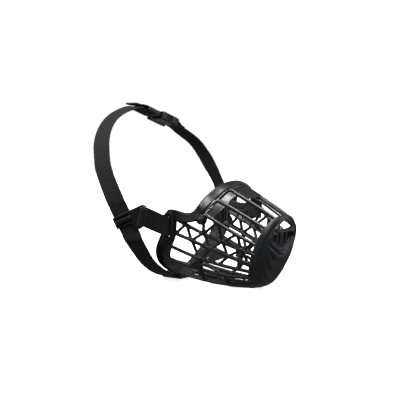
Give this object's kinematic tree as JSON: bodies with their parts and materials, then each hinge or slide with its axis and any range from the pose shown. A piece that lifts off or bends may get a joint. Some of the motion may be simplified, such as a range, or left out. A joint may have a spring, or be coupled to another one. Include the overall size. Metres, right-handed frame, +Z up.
{
  "type": "basket muzzle",
  "caption": "Basket muzzle: open lattice snout basket with shield-shaped nose cap, brow band on snap studs, webbing neck loop with angled strap slides and side-release buckle.",
  "frame": {"origin": "middle of the underside of the bounding box", "axes": "+X towards the nose, +Y the wearer's left, +Z up"},
  "size_m": [0.2265, 0.1896, 0.1903],
  "materials": {
    "basket_plastic": "satin black injection-moulded polypropylene, soft grey highlights",
    "nose_plastic": "satin black moulded shield with fine grain",
    "brow_plastic": "smooth satin black moulded band",
    "stud_plastic": "black polyamide snap stud",
    "webbing": "black ribbed polyamide webbing, matte",
    "buckle_plastic": "black acetal, satin"
  },
  "bodies": {
    "basket": {"lower_rim_band": "basket_plastic", "chin_keeper": "basket_plastic", "arch_rib": "basket_plastic", "side_lattice_right": "basket_plastic", "side_lattice_left": "basket_plastic", "chin_grille": "basket_plastic", "bridge_bars": "basket_plastic", "nose_cap": "nose_plastic", "brow_band": "brow_plastic", "snap_stud_right": "stud_plastic", "snap_stud_left": "stud_plastic"},
    "harness": {"chin_strap": "webbing", "neck_strap_right": "webbing", "neck_strap_left": "webbing", "cheek_strap_right": "webbing", "cheek_strap_left": "webbing", "buckle_female": "buckle_plastic"},
    "slide_right": {"strap_slide_right": "buckle_plastic"},
    "slide_left": {"strap_slide_left": "buckle_plastic"},
    "male": {"buckle_male": "buckle_plastic"},
    "prong_f": {"prong_front": "buckle_plastic"},
    "prong_r": {"prong_rear": "buckle_plastic"}
  },
  "joints": [
    {"name": "harness_swing", "type": "hinge", "parent": "basket", "child": "harness", "pos_m": [-0.0071, 0, 0.065], "axis": [0, 1, 0], "range_deg": [-25, 25], "deforming": ["chin_strap", "cheek_strap_right", "cheek_strap_left"]},
    {"name": "right_slide_adjust", "type": "slide", "parent": "harness", "child": "slide_right", "axis": [-0.3904, -0.1902, 0.9008], "range_m": [-0.006, 0.006], "deforming": ["cheek_strap_right"]},
    {"name": "left_slide_adjust", "type": "slide", "parent": "harness", "child": "slide_left", "axis": [-0.3904, 0.1902, 0.9008], "range_m": [-0.006, 0.006], "deforming": ["cheek_strap_left"]},
    {"name": "buckle_release", "type": "slide", "parent": "harness", "child": "male", "axis": [-0.2005, -0.8893, 0.4111], "range_m": [0, 0.028], "deforming": ["neck_strap_right", "prong_front", "prong_rear"]},
    {"name": "prong_front_squeeze", "type": "hinge", "parent": "male", "child": "prong_f", "pos_m": [-0.08874, 0.03561, 0.1742], "axis": [0, 0.4196, 0.9077], "range_deg": [0, 8], "stiffness_Nm_per_rad": 0.02},
    {"name": "prong_rear_squeeze", "type": "hinge", "parent": "male", "child": "prong_r", "pos_m": [-0.10186, 0.03805, 0.17307], "axis": [0, 0.4196, 0.9077], "range_deg": [-8, 0], "stiffness_Nm_per_rad": 0.02}
  ],
  "couplings": [
    {"joint": "prong_rear_squeeze", "follows": "prong_front_squeeze", "ratio": -1}
  ]
}
